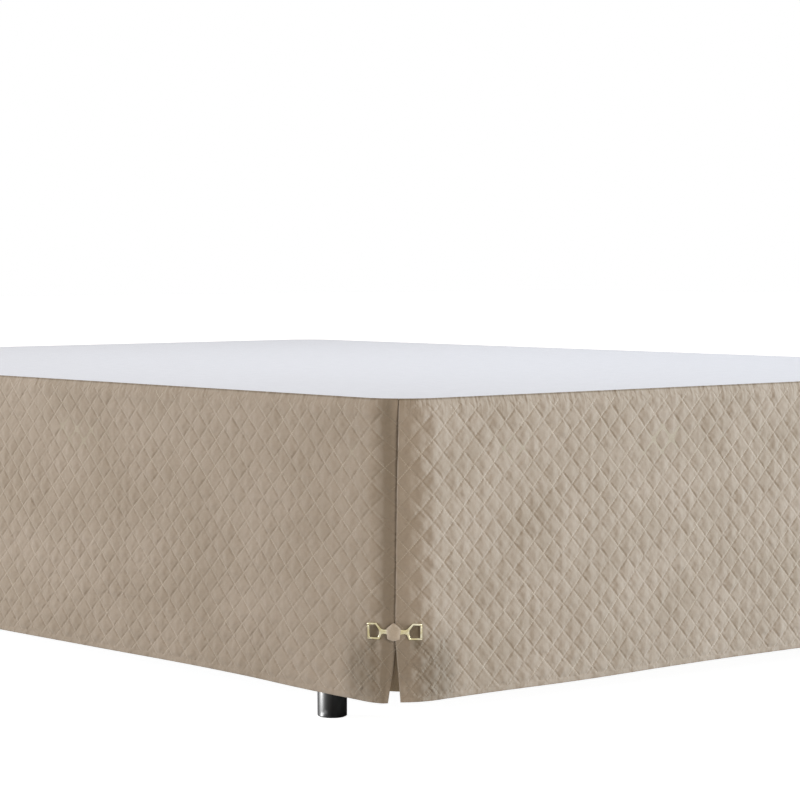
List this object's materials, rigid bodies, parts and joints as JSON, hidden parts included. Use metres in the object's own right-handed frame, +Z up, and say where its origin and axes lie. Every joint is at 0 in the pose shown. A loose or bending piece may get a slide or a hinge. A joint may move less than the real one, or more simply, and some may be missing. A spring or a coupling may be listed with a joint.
{
  "type": "bed skirt and bed base",
  "caption": "Quilted bed skirt in three panels hung from a deck sheet on a box bed base, split at the foot corners over plain underlays, each split bridged by a buckle.",
  "frame": {"origin": "on the floor, under the middle of the bed base", "axes": "+Z is up from the floor, +Y runs along the bed from the foot to the open head end, +X is to the right as seen from the foot"},
  "size_m": [1.4128, 1.9072, 0.406],
  "materials": {
    "quilted_cloth": "brushed microfibre, quilted in small diamonds",
    "deck_cloth": "plain light cotton cloth",
    "underlay_cloth": "plain brushed microfibre, in shadow brown",
    "buckle_metal": "polished pale gold plating",
    "boss_cloth": "skirt cloth drawn over a six-sided boss",
    "base_cover": "plain woven cover",
    "leg_lacquer": "glossy black"
  },
  "bodies": {
    "root": {"side_panel_left": "quilted_cloth", "side_panel_right": "quilted_cloth", "foot_panel": "quilted_cloth", "deck_sheet": "deck_cloth", "corner_underlay_left": "underlay_cloth", "corner_underlay_right": "underlay_cloth", "buckle_left": "buckle_metal", "buckle_right": "buckle_metal", "buckle_boss_left": "boss_cloth", "buckle_boss_right": "boss_cloth", "bed_base": "base_cover", "leg_1": "leg_lacquer", "leg_2": "leg_lacquer", "leg_3": "leg_lacquer", "leg_4": "leg_lacquer", "leg_5": "leg_lacquer", "leg_6": "leg_lacquer"}
  },
  "joints": []
}
